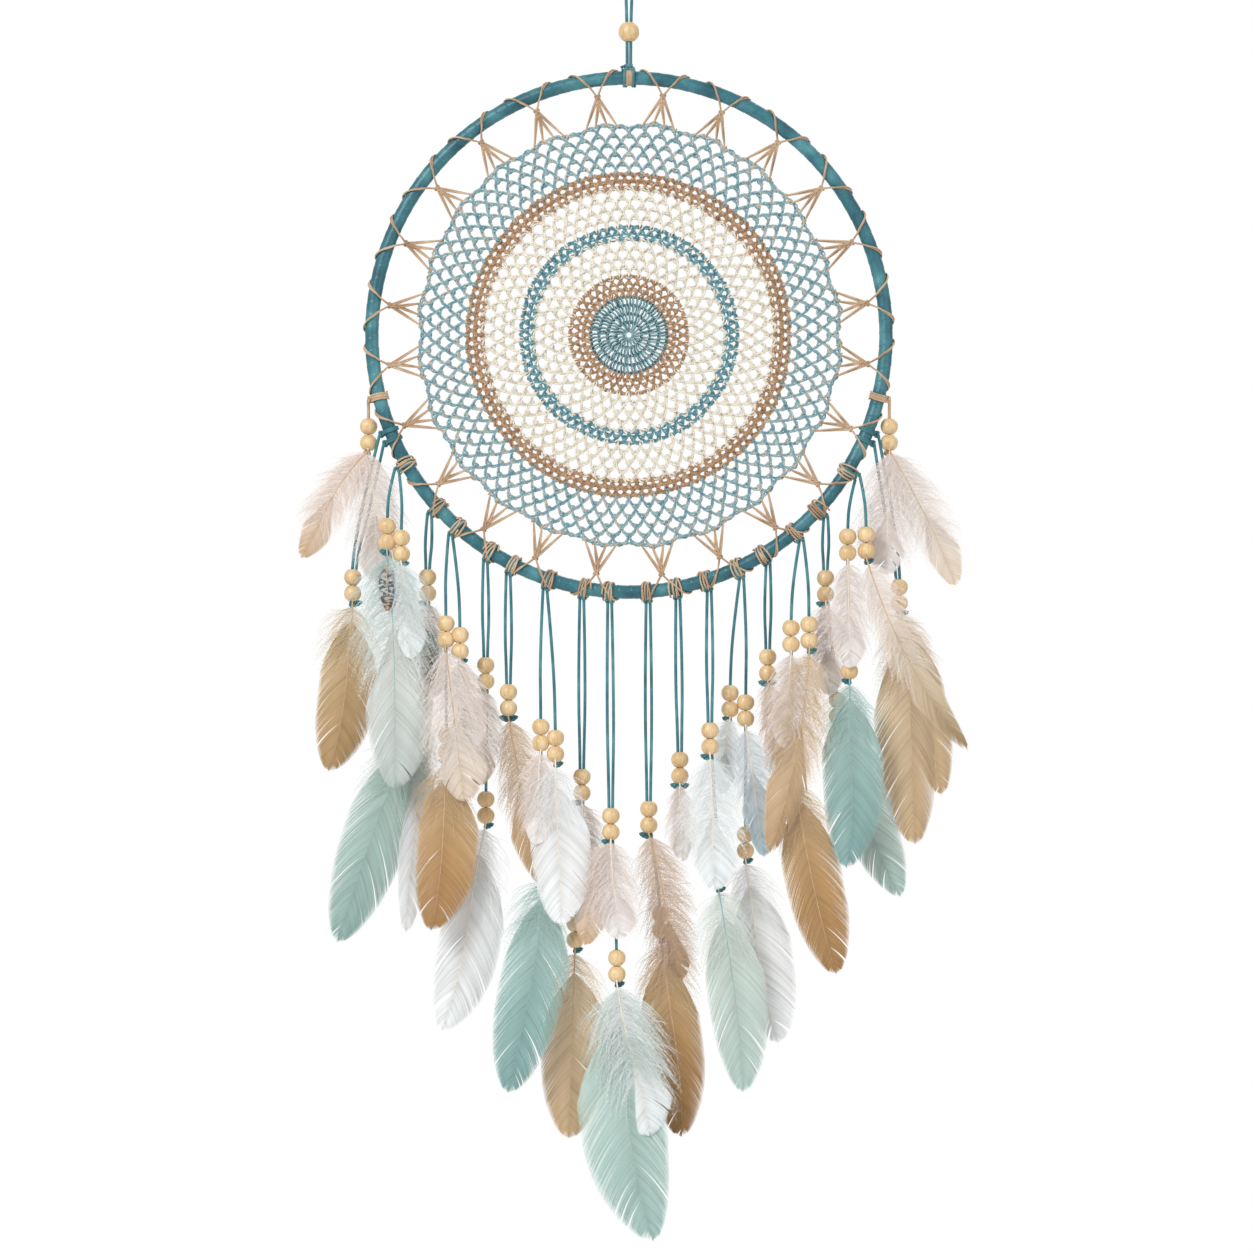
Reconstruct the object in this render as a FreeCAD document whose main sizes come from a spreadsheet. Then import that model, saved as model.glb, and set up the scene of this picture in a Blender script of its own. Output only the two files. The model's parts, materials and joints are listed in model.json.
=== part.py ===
"""Dream catcher: a wrapped hoop that holds a crocheted web and hangs from a looped cord,
with eighteen strands of wooden beads and feathers below it.

The frame: millimetres, +Z up, the front towards -Y. The origin is the top of the inside of
the hanging loop, where a nail or hook carries it.
"""
import FreeCAD
import Part
import Sketcher
import math
import os
from collections import namedtuple

Vec = FreeCAD.Vector

# ---------------------------------------------------------------- driving dimensions (mm)
SIZES = {
    "HoopDrop": 232.0,       # from the nail down to the hoop's centre
    "HoopRadius": 147.0,     # the ring's own centreline
    "RodRadius": 2.5,        # bare metal rod of the ring
    "WrapGap": 0.1,          # between the rod and the lace wound on it
    "WrapRadius": 4.0,       # outside of the wound lace
    "WebRadius": 121.0,
    "WebThick": 2.4,
    "WebHubRadius": 22.0,
    "WebHubThick": 3.6,
    "LacingCord": 0.6,       # radius of the tan lacing cord
    "LacingKnotRadius": 138.0,
    "LacingKnot": 1.3,
    "LacingArmSpread": 6.5,  # along the hoop, from a fan's middle to its rings
    "FanHalfAngle": 4.2,     # degrees, from a fan's middle to its outer spokes
    "CordRadius": 0.9,        # every hanging cord
    "ExitRadius": 153.6,     # the strands leave the hoop on this circle
    "BeadRadius": 5.0,
    "BoreRadius": 2.2,
    "BeadPitch": 9.3,
    "CordOffset": 0.95,      # two cords side by side in one bore
    "KnotRadius": 1.8,
    "TopBeadRadius": 6.0,
    "TopBeadDrop": 58.7,
    "TopCordOffset": 1.0,
    "NailRadius": 4.0,       # the loop fits a nail or hook of this radius
    "LoopSpread": 34.0,      # the two cords start to part this far below the nail
    "FeatherThick": 1.0,
    "QuillWidth": 1.6,
    "LayerStep": 1.6,        # from one feather's middle plane to the next one in front
    "FrontRow": -8.5,        # the upper beads' plane in each row
    "BackRow": 7.0,
    "RimRow": 3.5,           # the same for the two short cords beside the hoop
    "LowerStep": 2.5,        # a lower tassel hangs this far behind its upper one
    "UpperFeatherStep": -3.5,
    "LowerFeatherStep": -2.6,  # in front of the knot
}
FAN_COUNT = 24

# A feather: its length and greatest width, the lean of its tip from straight down
# (degrees, + towards +X), and its bow, how far its middle stands off that line.
Feather = namedtuple("Feather", "length width lean bow")
# A tassel: two beads, the upper one's centre at (across, -drop) from the strand's exit,
# and the feathers under them, the hindmost first.
Tassel = namedtuple("Tassel", "across drop feathers")
# A strand: its place on the hoop (degrees from the bottom, + towards +X), its row, one or
# two upper tassels, and the lower tassel that hangs behind them, if it has one.
Strand = namedtuple("Strand", "angle row upper lower")

STRANDS = [
    Strand(-76.0, "rim",
           [Tassel(0.0, 15.0, [Feather(76, 25, 3, 2), Feather(73, 19, -32, -3)])],
           Tassel(-9.4, 101.2, [Feather(99, 30, -8, 3)])),
    Strand(-59.6, "front",
           [Tassel(-5.4, 31.6, [Feather(137, 36, 2, 2)]),
            Tassel(2.7, 38.4, [Feather(56, 18, 6, 1)])],
           None),
    Strand(-47.9, "back",
           [Tassel(-1.4, 35.4, [Feather(56, 19, 3, 0)])],
           Tassel(-3.3, 100.0, [Feather(127, 16, -5, 0), Feather(141, 34, -21, -3)])),
    Strand(-41.6, "front",
           [Tassel(5.7, 56.7, [Feather(51, 17, 10, 0)]),
            Tassel(-2.4, 50.1, [Feather(89, 32, 7, 0)])],
           Tassel(-2.1, 114.0, [Feather(98, 31, -5, 2)])),
    Strand(-32.3, "back",
           [Tassel(0.0, 59.0, [Feather(56, 18, -4, 0)])],
           Tassel(0.0, 136.0, [Feather(122, 32, -12, 2)])),
    Strand(-26.7, "back",
           [Tassel(0.0, 67.0, [Feather(102, 20, 12, -2)])],
           None),
    Strand(-18.2, "front",
           [Tassel(-2.3, 78.0, [Feather(54, 18, -3, 0)]),
            Tassel(6.1, 84.3, [Feather(93, 30, 2, 0)])],
           Tassel(-1.2, 148.7, [Feather(126, 34, -9, 3)])),
    Strand(-10.1, "back",
           [Tassel(0.0, 101.6, [Feather(57, 20, 4, 0)])],
           Tassel(-3.9, 186.0, [Feather(110, 34, -2, 0)])),
    Strand(-4.1, "front",
           [Tassel(0.7, 121.4, [Feather(62, 19, -14, -2), Feather(57, 24, 4, 0)])],
           Tassel(4.1, 202.6, [Feather(149, 44, 8, -4), Feather(90, 34, 12, 0)])),
    Strand(4.1, "back",
           [Tassel(0.4, 118.0, [Feather(87, 22, 13, 0)])],
           Tassel(7.3, 178.6, [Feather(115, 31, 6, 2)])),
    Strand(10.5, "back",
           [Tassel(1.2, 92.0, [Feather(45, 13, 2, 0)])],
           None),
    Strand(17.4, "front",
           [Tassel(0.3, 79.4, [Feather(78, 28, 2, 0)])],
           Tassel(4.9, 155.0, [Feather(118, 30, 7, 2)])),
    Strand(24.8, "back",
           [Tassel(-6.5, 65.4, [Feather(45, 15, -7, 0)]),
            Tassel(2.5, 70.8, [Feather(76, 19, 8, 0)])],
           Tassel(2.4, 146.6, [Feather(108, 30, 10, -2)])),
    Strand(31.2, "back",
           [Tassel(0.0, 52.8, [Feather(60, 15, 10, 0)])],
           None),
    Strand(39.9, "front",
           [Tassel(-6.1, 49.7, [Feather(55, 18, -5, 0)]),
            Tassel(4.2, 47.7, [Feather(119, 24, -11, 4)])],
           Tassel(-4.1, 122.3, [Feather(114, 29, 12, -2)])),
    Strand(47.1, "back",
           [Tassel(0.2, 34.4, [Feather(54, 19, 2, 0)])],
           Tassel(7.0, 104.2, [Feather(106, 27, 20, -2)])),
    Strand(58.2, "front",
           [Tassel(-5.8, 34.5, [Feather(62, 20, 1, 0)]),
            Tassel(4.8, 33.4, [Feather(124, 20, 28, -6)])],
           Tassel(-4.7, 102.0, [Feather(108, 31, -1, 2)])),
    Strand(76.0, "rim",
           [Tassel(0.0, 15.0, [Feather(72, 27, -1, 0), Feather(87, 21, 26, 2)])],
           Tassel(6.0, 106.9, [Feather(109, 22, 13, 2), Feather(135, 32, 4, 2)])),
]
RIM_LONG_EXIT = 7.6          # beside the hoop, the long cords leave this far inside the short one

doc = FreeCAD.newDocument("dream_catcher")
sheet = doc.addObject("Spreadsheet::Sheet", "Sizes")
for row_number, (alias, value) in enumerate(SIZES.items(), start=1):
    sheet.set(f"A{row_number}", alias)
    sheet.set(f"B{row_number}", str(value))
    sheet.setAlias(f"B{row_number}", alias)
doc.recompute()


def size(alias):
    """A driving dimension, read back from the sheet."""
    return float(sheet.get(alias))


sub_parts = []


def keep(obj, label):
    """Marks a document object as a sub-part, which becomes parts/LABEL.step."""
    obj.Label = label
    sub_parts.append(obj)
    return obj


def feature(label, shape, place):
    """A sub-part whose shape is set here, built about its own origin and then placed."""
    obj = keep(doc.addObject("Part::Feature", label), label)
    obj.Shape = shape
    obj.Placement = FreeCAD.Placement(place, FreeCAD.Rotation())
    return obj


# ---------------------------------------------------------------- hoop
def bound_torus(name, minor_expression):
    """A ring about the hoop's centre, lying in the XZ plane."""
    torus = doc.addObject("Part::Torus", name)
    torus.setExpression("Radius1", "Sizes.HoopRadius")
    torus.setExpression("Radius2", minor_expression)
    torus.Placement = FreeCAD.Placement(Vec(), FreeCAD.Rotation(Vec(1, 0, 0), 90))
    torus.setExpression("Placement.Base.z", "-Sizes.HoopDrop")
    return torus


def make_hoop():
    keep(bound_torus("HoopRod", "Sizes.RodRadius"), "hoop_ring")
    wrap = doc.addObject("Part::Cut", "HoopWrap")
    wrap.Base = bound_torus("WrapOutside", "Sizes.WrapRadius")
    wrap.Tool = bound_torus("WrapInside", "Sizes.RodRadius + Sizes.WrapGap")
    keep(wrap, "hoop_wrap")


# ---------------------------------------------------------------- web
def origin_plane(body, role):
    return next(f for f in body.Origin.OriginFeatures if f.Role == role)


def circle_pad(body, name, radius_alias, thick_alias):
    """A round pad about the body's middle plane."""
    sketch = body.newObject("Sketcher::SketchObject", name + "Sketch")
    sketch.AttachmentSupport = [(origin_plane(body, "XZ_Plane"), "")]
    sketch.MapMode = "FlatFace"
    sketch.addGeometry(Part.Circle(Vec(), Vec(0, 0, 1), size(radius_alias)))
    sketch.addConstraint(Sketcher.Constraint("Coincident", 0, 3, -1, 1))
    sketch.addConstraint(Sketcher.Constraint("Radius", 0, size(radius_alias)))
    sketch.setExpression("Constraints[1]", "Sizes." + radius_alias)
    pad = body.newObject("PartDesign::Pad", name)
    pad.Profile = sketch
    pad.setExpression("Length", "Sizes." + thick_alias)
    pad.Midplane = True
    body.Tip = pad


def make_web():
    """The crocheted web, a plain disc with a thicker hub."""
    body = doc.addObject("PartDesign::Body", "Web")
    circle_pad(body, "WebDisc", "WebRadius", "WebThick")
    circle_pad(body, "WebHub", "WebHubRadius", "WebHubThick")
    body.setExpression("Placement.Base.z", "-Sizes.HoopDrop")
    keep(body, "web")


# ---------------------------------------------------------------- lacing
def hoop_point(radius, angle, y=0.0):
    """A point about the hoop's centre, with the angle in degrees from the top."""
    turn = math.radians(angle)
    return Vec(radius * math.sin(turn), y, radius * math.cos(turn))


def rod_between(start, end, radius):
    return Part.makeCylinder(radius, start.distanceToPoint(end), start, end - start)


def lacing_fan(angle):
    """One fan: a knot with four spokes to the web's rim and two arms, and a ring round the
    hoop at the end of each arm."""
    cord = size("LacingCord")
    knot = hoop_point(size("LacingKnotRadius"), angle)
    pieces = []
    for share in (-1.0, -0.4, 0.4, 1.0):
        rim = hoop_point(size("WebRadius") - cord, angle + share * size("FanHalfAngle"))
        pieces.append(rod_between(knot, rim, cord))
    turn_radius = size("WrapRadius") + cord + size("WrapGap")
    reach = size("HoopRadius") - size("LacingKnotRadius")
    tangent = math.sqrt(reach ** 2 - turn_radius ** 2)
    lift = math.asin(turn_radius / reach)
    touch_radius = size("LacingKnotRadius") + tangent * math.cos(lift)
    touch_y = -tangent * math.sin(lift)
    arm_angle = math.degrees(size("LacingArmSpread") / size("HoopRadius"))
    rings = []
    for side in (-1, 1):
        end_angle = angle + side * arm_angle
        touch = hoop_point(touch_radius, end_angle, touch_y)
        arm = touch - knot
        arm_end = touch - arm * (2.8 * cord / arm.Length)
        pieces.append(rod_between(knot, arm_end, cord))
        middle = hoop_point(size("HoopRadius"), end_angle)
        along = Vec(middle.z, 0, -middle.x)
        rings.append(Part.makeTorus(turn_radius, cord, middle, along))
    return [Part.makeSphere(size("LacingKnot"), knot).fuse(pieces)] + rings


def make_lacing():
    step = 360.0 / FAN_COUNT
    pieces = []
    for index in range(FAN_COUNT):
        pieces += lacing_fan((index + 0.5) * step)
    feature("web_lacing", Part.makeCompound(pieces), Vec(0, 0, -size("HoopDrop")))


# ---------------------------------------------------------------- cords
def rounded_path(points, name):
    """Straight runs joined by tangent arcs, each as large as its two runs allow."""
    edges = []
    radii = []
    last = points[0]
    for before, corner, after in zip(points, points[1:], points[2:]):
        back = (before - corner).normalize()
        ahead = (after - corner).normalize()
        half_turn = (math.pi - back.getAngle(ahead)) / 2
        trim = 0.45 * min(before.distanceToPoint(corner), after.distanceToPoint(corner))
        radius = trim / math.tan(half_turn)
        radii.append(round(radius, 1))
        start = corner + back * trim
        end = corner + ahead * trim
        to_centre = (back + ahead).normalize()
        middle = corner + to_centre * (radius / math.cos(half_turn) - radius)
        edges.append(Part.LineSegment(last, start).toShape())
        edges.append(Part.Arc(start, middle, end).toShape())
        last = end
    edges.append(Part.LineSegment(last, points[-1]).toShape())
    print(f"{name}: arc radii {radii} mm")
    return Part.Wire(edges)


def cord_tube(points, radius, name):
    """A round cord along the rounded path, checked against its section times its length."""
    path = rounded_path(points, name)
    ring = Part.Wire([Part.makeCircle(radius, points[0], points[1] - points[0])])
    tube = path.makePipeShell([ring], True, False)
    expected = math.pi * radius ** 2 * path.Length
    if abs(tube.Volume - expected) > 0.02 * expected:
        raise ValueError(f"{name}: volume {tube.Volume:.1f}, expected {expected:.1f}")
    return tube


def make_hanging_cord():
    """The looped cord: up one side, over the nail and down the other."""
    cord = size("CordRadius")
    side = size("TopCordOffset")
    loop = size("NailRadius") + cord
    foot = size("HoopRadius") + size("WrapRadius") + 0.4 - size("HoopDrop")
    left = [Vec(-side, 0, foot), Vec(-side, 0, -size("LoopSpread")),
            Vec(-loop - 0.25 * cord, 0, -11 * cord), Vec(-loop, 0, cord)]
    right = [Vec(-p.x, 0, p.z) for p in reversed(left)]
    feature("hanging_loop", cord_tube(left + right, cord, "hanging_loop"), Vec())


def make_top_bead():
    ball = doc.addObject("Part::Sphere", "TopBall")
    ball.setExpression("Radius", "Sizes.TopBeadRadius")
    bore = doc.addObject("Part::Cylinder", "TopBore")
    bore.setExpression("Radius", "Sizes.BoreRadius")
    bore.setExpression("Height", "4 * Sizes.TopBeadRadius")
    bore.setExpression("Placement.Base.z", "-2 * Sizes.TopBeadRadius")
    bead = doc.addObject("Part::Cut", "TopBead")
    bead.Base = ball
    bead.Tool = bore
    bead.setExpression("Placement.Base.z", "-Sizes.TopBeadDrop")
    keep(bead, "hanging_bead")


# ---------------------------------------------------------------- beads
def make_bead_form():
    """The bead that every tassel repeats, revolved from a half disc less its bore."""
    body = doc.addObject("PartDesign::Body", "BeadForm")
    sketch = body.newObject("Sketcher::SketchObject", "BeadProfile")
    sketch.AttachmentSupport = [(origin_plane(body, "XZ_Plane"), "")]
    sketch.MapMode = "FlatFace"
    ball = size("BeadRadius")
    bore = size("BoreRadius")
    half_height = math.sqrt(ball ** 2 - bore ** 2)
    lean = math.atan2(half_height, bore)
    circle = Part.Circle(Vec(), Vec(0, 0, 1), ball)
    sketch.addGeometry(Part.ArcOfCircle(circle, -lean, lean))
    sketch.addGeometry(Part.LineSegment(Vec(bore, half_height, 0), Vec(bore, -half_height, 0)))
    sketch.addConstraint(Sketcher.Constraint("Coincident", 0, 3, -1, 1))
    sketch.addConstraint(Sketcher.Constraint("Coincident", 0, 2, 1, 1))
    sketch.addConstraint(Sketcher.Constraint("Coincident", 0, 1, 1, 2))
    sketch.addConstraint(Sketcher.Constraint("Vertical", 1))
    ball_radius = sketch.addConstraint(Sketcher.Constraint("Radius", 0, ball))
    bore_radius = sketch.addConstraint(Sketcher.Constraint("DistanceX", -1, 1, 1, 1, bore))
    sketch.setExpression(f"Constraints[{ball_radius}]", "Sizes.BeadRadius")
    sketch.setExpression(f"Constraints[{bore_radius}]", "Sizes.BoreRadius")
    turn = body.newObject("PartDesign::Revolution", "BeadTurn")
    turn.Profile = sketch
    turn.ReferenceAxis = (sketch, ["V_Axis"])
    turn.Angle = 360.0
    body.Tip = turn
    doc.recompute()
    return body


def bead_pair(form, tassel, y):
    """The tassel's two beads, one above the other."""
    pair = []
    for index in range(2):
        bead = form.Shape.copy()
        bead.translate(Vec(tassel.across, y, -tassel.drop - index * size("BeadPitch")))
        pair.append(bead)
    return pair


# ---------------------------------------------------------------- feathers
def feather_plate(feather, root):
    """A flat leaf on a short quill, hanging from root in the plane of its Y."""
    quill = size("QuillWidth") / 2
    bare = 0.08 * feather.length
    middle = (bare + feather.length) / 2
    half = feather.width / 2
    outline = Part.Wire([
        Part.LineSegment(Vec(-quill, 0, 0), Vec(quill, 0, 0)).toShape(),
        Part.LineSegment(Vec(quill, 0, 0), Vec(quill, 0, -bare)).toShape(),
        Part.Arc(Vec(quill, 0, -bare), Vec(half + feather.bow, 0, -middle),
                 Vec(0, 0, -feather.length)).toShape(),
        Part.Arc(Vec(0, 0, -feather.length), Vec(-half + feather.bow, 0, -middle),
                 Vec(-quill, 0, -bare)).toShape(),
        Part.LineSegment(Vec(-quill, 0, -bare), Vec(-quill, 0, 0)).toShape(),
    ])
    thick = size("FeatherThick")
    plate = Part.Face(outline).extrude(Vec(0, thick, 0))
    plate.translate(Vec(0, -thick / 2, 0))
    plate.rotate(Vec(), Vec(0, 1, 0), -feather.lean)
    plate.translate(root)
    return plate


def tassel_feathers(tassel, first_y):
    """A tassel's feathers, each one step in front of the one before."""
    root_z = -tassel.drop - size("BeadPitch") - 0.93 * size("BeadRadius")
    return [feather_plate(feather, Vec(tassel.across, first_y - index * size("LayerStep"), root_z))
            for index, feather in enumerate(tassel.feathers)]


# ---------------------------------------------------------------- strands
def strand_exit(angle):
    turn = math.radians(angle)
    return Vec(size("ExitRadius") * math.sin(turn), 0, -size("ExitRadius") * math.cos(turn))


def cord_start(exit_point, across):
    """Where a cord leaves the hoop, on the exit circle, from the strand's own exit."""
    x = exit_point.x + across
    z = -math.sqrt(size("ExitRadius") ** 2 - x ** 2)
    return Vec(across, 0, z - exit_point.z)


def cord_route(start, stops, bow):
    """From the hoop, bowed a little, then straight through each pair of beads."""
    margin = 1.4 * size("BeadRadius")
    below = size("BeadPitch") + 1.2 * size("BeadRadius")
    first = stops[0] + Vec(0, 0, margin)
    points = [start]
    if first.distanceToPoint(start) > 4 * size("BeadRadius"):
        points.append((start + first) * 0.5 + Vec(bow, 0, 0))
    for stop in stops:
        points += [stop + Vec(0, 0, margin), stop - Vec(0, 0, below)]
    return points


def strand_cord(exit_point, start_across, stops, bow, name):
    """One cord with the knot that ends it under its last bead."""
    points = cord_route(cord_start(exit_point, start_across), stops, bow)
    tube = cord_tube(points, size("CordRadius"), name)
    side = 1 if stops[-1].x > 0 and len(stops) == 1 and bow > 0 else -1
    shift = side * size("BeadRadius") * 0.2
    knot = Part.makeSphere(size("KnotRadius"))
    knot.rotate(Vec(), Vec(0, 1, 0), 90)  # its seam faces down, away from the cord
    knot.translate(points[-1] + Vec(shift, 0, 0))
    return tube.fuse(knot)


def stop_point(tassel, y, offset):
    return Vec(tassel.across + offset, y, -tassel.drop)


def strand_cords(strand, exit_point, upper_y, lower_y, name):
    """The strand's two cords, or three beside the hoop."""
    side = size("CordOffset")
    spread = 1.2 * side
    if strand.row == "rim":
        inward = math.copysign(RIM_LONG_EXIT, -exit_point.x)
        cords = [(0.0, [stop_point(strand.upper[0], upper_y, 0)], 0.0)]
        for sign in (-1, 1):
            cords.append((inward + sign * spread, [stop_point(strand.lower, lower_y, sign * side)],
                          sign * spread))
    elif len(strand.upper) == 2:
        left, right = sorted(strand.upper, key=lambda tassel: tassel.across)
        cords = [(-spread, [stop_point(left, upper_y, 0)], -spread),
                 (spread, [stop_point(right, upper_y, 0)], spread)]
        if strand.lower:
            gaps = [abs(strand.lower.across - tassel.across) for tassel in (left, right)]
            cords[gaps.index(min(gaps))][1].append(stop_point(strand.lower, lower_y, 0))
    else:
        cords = [(-spread, [stop_point(strand.upper[0], upper_y, -side)], -spread),
                 (spread, [stop_point(strand.upper[0], upper_y, side)], spread)]
        if strand.lower:
            cords[1][1].append(stop_point(strand.lower, lower_y, 0))
    return [strand_cord(exit_point, start, stops, bow, f"{name} cord {index + 1}")
            for index, (start, stops, bow) in enumerate(cords)]


def make_strand(number, strand, form):
    """The cords, beads and feathers of one strand, each a sub-part of its own."""
    exit_point = strand_exit(strand.angle)
    place = exit_point - Vec(0, 0, size("HoopDrop"))
    upper_y = {"front": size("FrontRow"), "back": size("BackRow"), "rim": size("RimRow")}[strand.row]
    lower_y = (size("BackRow") if strand.row == "rim" else upper_y) + size("LowerStep")
    beads = []
    feathers = []
    for index, tassel in enumerate(strand.upper):
        layer_y = upper_y + size("UpperFeatherStep") - index * size("LayerStep")
        beads += bead_pair(form, tassel, upper_y)
        feathers += tassel_feathers(tassel, layer_y)
    if strand.lower:
        beads += bead_pair(form, strand.lower, lower_y)
        feathers += tassel_feathers(strand.lower, lower_y + size("LowerFeatherStep"))
    name = f"strand_{number:02d}"
    cords = strand_cords(strand, exit_point, upper_y, lower_y, name)
    feature(name, Part.makeCompound(cords), place)
    feature(f"beads_{number:02d}", Part.makeCompound(beads), place)
    feature(f"feathers_{number:02d}", Part.makeCompound(feathers), place)


# ---------------------------------------------------------------- build and write
make_hoop()
make_web()
make_lacing()
make_hanging_cord()
make_top_bead()
bead_form = make_bead_form()
for strand_number, one_strand in enumerate(STRANDS, start=1):
    make_strand(strand_number, one_strand, bead_form)
doc.recompute()

for obj in doc.Objects:
    if "Invalid" in obj.State or "Error" in obj.State:
        raise ValueError(f"{obj.Label} failed: {obj.State}")
os.makedirs("parts", exist_ok=True)
for obj in sub_parts:
    if obj.Shape.isNull() or not obj.Shape.isValid() or not obj.Shape.Solids:
        raise ValueError(f"{obj.Label} has no valid solid")
    obj.Shape.exportStep(f"parts/{obj.Label}.step")
    print(f"{obj.Label}: {len(obj.Shape.Solids)} solids, {obj.Shape.Volume:.0f} mm3")
print(f"{len(sub_parts)} sub-parts")
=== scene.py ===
"""The looks of the dream catcher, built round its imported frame."""

import json
import math

import bmesh
import bpy
import numpy as np
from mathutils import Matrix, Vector


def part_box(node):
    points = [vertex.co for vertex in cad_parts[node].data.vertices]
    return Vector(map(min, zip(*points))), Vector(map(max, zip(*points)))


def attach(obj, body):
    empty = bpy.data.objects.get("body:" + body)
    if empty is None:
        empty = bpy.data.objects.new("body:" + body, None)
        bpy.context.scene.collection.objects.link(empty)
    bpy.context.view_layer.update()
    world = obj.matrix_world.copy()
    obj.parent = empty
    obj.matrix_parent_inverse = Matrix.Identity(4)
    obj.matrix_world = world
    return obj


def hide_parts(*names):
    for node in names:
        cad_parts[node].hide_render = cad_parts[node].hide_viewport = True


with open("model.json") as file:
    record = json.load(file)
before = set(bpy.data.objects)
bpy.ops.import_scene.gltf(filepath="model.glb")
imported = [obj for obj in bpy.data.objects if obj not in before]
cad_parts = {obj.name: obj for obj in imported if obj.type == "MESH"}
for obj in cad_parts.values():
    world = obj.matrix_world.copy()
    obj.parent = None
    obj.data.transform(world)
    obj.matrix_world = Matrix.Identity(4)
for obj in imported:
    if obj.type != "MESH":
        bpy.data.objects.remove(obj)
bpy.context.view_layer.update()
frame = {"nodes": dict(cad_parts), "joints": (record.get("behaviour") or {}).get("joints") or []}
scene = bpy.context.scene
MM = 0.001
TAU = 2 * math.pi

# ---------------------------------------------------------------- sizes, in millimetres, as in the CAD
HOOP_Z = -232.0
HOOP_RADIUS = 147.0
WRAP_RADIUS = 4.0
EXIT_RADIUS = 153.6
KNOT_RADIUS = 138.0       # the lacing's own knots, from the hoop's centre
RIM_RADIUS = 121.0        # the web's outer edge
FANS = 24
FAN_HALF = math.radians(4.2)
CORD_RADIUS = 0.9
CORD_OFFSET = 0.95
BEAD_RADIUS = 5.0
BEAD_PITCH = 9.3
RIM_LONG_EXIT = 7.6
TOP_OFFSET = 1.0
RIM_STRANDS = (1, 18)     # beside the hoop, with a short tan cord of their own
PLY_PITCH = 2.2           # one turn of the web's twisted yarn
LACE_TURNS = 132          # turns of lace round the whole hoop
LACE_THREADS = 8          # threads side by side in the lace
LOWER_DROP = 30.0         # a strand's lower beads hang at least this far below its highest
DOWN_DEPTH = 21.5         # how far down may stand out from the middle plane
FLOOR_Z = -862.0


# ---------------------------------------------------------------- mesh helpers
def array(points):
    return np.asarray(points, float).reshape(-1, 3)


class Soup:
    """Gathers vertices, quads and triangles in millimetres, and makes one object of them."""

    def __init__(self):
        self.verts, self.loops, self.sizes, self.slots, self.attr = [], [], [], [], []
        self.count = 0

    def add(self, verts, faces, slot=0, attr=None):
        faces = np.asarray(faces, int)
        self.loops.append((faces + self.count).ravel())
        self.sizes.append(np.full(len(faces), faces.shape[1]))
        self.slots.append(np.full(len(faces), slot))
        self.verts.append(verts)
        self.attr.append(np.zeros((len(verts), 3)) if attr is None else attr)
        self.count += len(verts)

    def object(self, name, materials):
        mesh = bpy.data.meshes.new(name)
        verts = np.concatenate(self.verts) * MM
        loops = np.concatenate(self.loops)
        sizes = np.concatenate(self.sizes)
        mesh.vertices.add(len(verts))
        mesh.vertices.foreach_set("co", verts.ravel())
        mesh.loops.add(len(loops))
        mesh.loops.foreach_set("vertex_index", loops)
        mesh.polygons.add(len(sizes))
        mesh.polygons.foreach_set("loop_start", np.concatenate([[0], np.cumsum(sizes)[:-1]]))
        mesh.polygons.foreach_set("loop_total", sizes)
        mesh.polygons.foreach_set("material_index", np.concatenate(self.slots))
        mesh.polygons.foreach_set("use_smooth", np.ones(len(sizes), bool))
        for material in materials:
            mesh.materials.append(material)
        mesh.update(calc_edges=True)
        mesh.validate()
        attr = np.concatenate(self.attr)
        if attr.any():
            layer = mesh.color_attributes.new("barb", "FLOAT_COLOR", "POINT")
            layer.data.foreach_set("color", np.hstack([attr, np.ones((len(attr), 1))]).ravel())
        obj = bpy.data.objects.new(name, mesh)
        scene.collection.objects.link(obj)
        return obj


def unit(vectors):
    return vectors / np.maximum(np.linalg.norm(vectors, axis=-1, keepdims=True), 1e-9)


def grid_faces(rows, columns, wrap_rows=False):
    """Quads of a grid whose columns close on themselves."""
    last = rows if wrap_rows else rows - 1
    i = np.arange(last)[:, None]
    j = np.arange(columns)[None, :]
    i2, j2 = (i + 1) % rows, (j + 1) % columns
    return np.stack([i * columns + j, i * columns + j2, i2 * columns + j2, i2 * columns + j],
                    -1).reshape(-1, 4)


def tube(soup, points, radius, sides=8, ref=(0, 1, 0), closed=False, lobes=0.0, slot=0):
    """A tube about the points. Lobes swell it like two twisted plies, one turn per ply pitch."""
    points = array(points)
    count = len(points)
    if closed:
        tangent = np.roll(points, -1, 0) - np.roll(points, 1, 0)
    else:
        tangent = np.gradient(points, axis=0)
    tangent = unit(tangent)
    ref = np.broadcast_to(np.asarray(ref, float), points.shape)
    side = unit(np.cross(tangent, ref))
    up = np.cross(side, tangent)
    angle = np.arange(sides) * TAU / sides
    radius = np.broadcast_to(np.asarray(radius, float), (count,))[:, None]
    if lobes:
        run = np.concatenate([[0], np.cumsum(np.linalg.norm(np.diff(points, axis=0), axis=1))])
        turns = run / PLY_PITCH
        if closed:
            turns *= round(turns[-1]) / turns[-1] * (count - 1) / count
        radius = radius * (1 + lobes * np.cos(2 * (angle[None, :] - math.pi * turns[:, None])))
    ring = (side[:, None] * (radius * np.cos(angle))[..., None]
            + up[:, None] * (radius * np.sin(angle))[..., None])
    verts = (points[:, None] + ring).reshape(-1, 3)
    faces = grid_faces(count, sides, closed)
    soup.add(verts, faces, slot)
    if not closed:
        caps = np.array([np.arange(sides)[::-1], (count - 1) * sides + np.arange(sides)])
        soup.loops.append((caps + soup.count - len(verts)).ravel())
        soup.sizes.append(np.full(2, sides))
        soup.slots.append(np.full(2, slot))


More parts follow.
